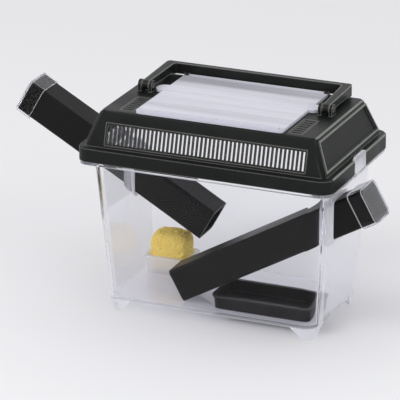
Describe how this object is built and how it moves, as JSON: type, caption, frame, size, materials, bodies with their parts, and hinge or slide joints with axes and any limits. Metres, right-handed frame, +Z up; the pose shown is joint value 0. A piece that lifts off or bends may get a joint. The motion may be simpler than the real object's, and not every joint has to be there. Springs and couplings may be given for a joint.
{
  "type": "cricket keeper box",
  "caption": "Clear tapered insect keeper with a dark slotted lid, clear hatch, carrying handle, sloping dispensing tubes with clear caps, and food and water dishes.",
  "frame": {"origin": "centre of the tank's footprint, on the plane its feet stand on", "axes": "+X right along the long side, +Y to the back (the handle folds that way), +Z up"},
  "size_m": [0.2794, 0.1116, 0.1515],
  "materials": {
    "clear_styrene": "clear, polished",
    "charcoal_plastic": "satin moulded",
    "clear_hatch": "clear, slightly cloudy",
    "charcoal_handle": "satin moulded",
    "charcoal_tube": "satin moulded",
    "clear_cap": "clear, polished",
    "dark_dish": "satin moulded",
    "clear_dish": "clear, polished",
    "yellow_sponge": "open-pored foam"
  },
  "bodies": {
    "tank": {"tank": "clear_styrene"},
    "lid": {"lid_frame": "charcoal_plastic", "front_grille": "charcoal_plastic", "rear_grille": "charcoal_plastic", "right_vent": "charcoal_plastic", "left_vent": "charcoal_plastic"},
    "hatch": {"hatch": "clear_hatch"},
    "handle": {"handle": "charcoal_handle"},
    "front_tube": {"front_tube": "charcoal_tube"},
    "front_tube_cap": {"front_tube_cap": "clear_cap"},
    "rear_tube": {"rear_tube": "charcoal_tube"},
    "rear_tube_cap": {"rear_tube_cap": "clear_cap"},
    "food_dish": {"food_dish": "dark_dish"},
    "water_dish": {"water_dish": "clear_dish"},
    "water_sponge": {"water_sponge": "yellow_sponge"}
  },
  "joints": [
    {"name": "lid_lift", "type": "slide", "parent": "tank", "child": "lid", "axis": [0, 0, 1], "range_m": [0, 0.08]},
    {"name": "hatch_hinge", "type": "hinge", "parent": "lid", "child": "hatch", "pos_m": [0, 0.04022, 0.1443], "axis": [-1, 0, 0], "range_deg": [0, 80]},
    {"name": "handle_hinge", "type": "hinge", "parent": "lid", "child": "handle", "pos_m": [0, 0.004, 0.147], "axis": [1, 0, 0], "range_deg": [0, 165]},
    {"name": "front_tube_slide", "type": "slide", "parent": "tank", "child": "front_tube", "axis": [0.8721, 0, 0.4894], "range_m": [0, 0.12]},
    {"name": "rear_tube_slide", "type": "slide", "parent": "tank", "child": "rear_tube", "axis": [-0.8721, 0, 0.4894], "range_m": [-0.058, 0.062]},
    {"name": "front_cap_pull", "type": "slide", "parent": "front_tube", "child": "front_tube_cap", "axis": [0.8721, 0, 0.4894], "range_m": [0, 0.012]},
    {"name": "rear_cap_pull", "type": "slide", "parent": "rear_tube", "child": "rear_tube_cap", "axis": [-0.8721, 0, 0.4894], "range_m": [0, 0.012]},
    {"name": "food_dish_slide", "type": "slide", "parent": "tank", "child": "food_dish", "axis": [0, 1, 0], "range_m": [-0.004, 0.006]},
    {"name": "water_dish_slide", "type": "slide", "parent": "tank", "child": "water_dish", "axis": [0, -1, 0], "range_m": [-0.006, 0.0405]},
    {"name": "sponge_lift", "type": "slide", "parent": "water_dish", "child": "water_sponge", "axis": [0, 0, 1], "range_m": [0, 0.004]}
  ]
}
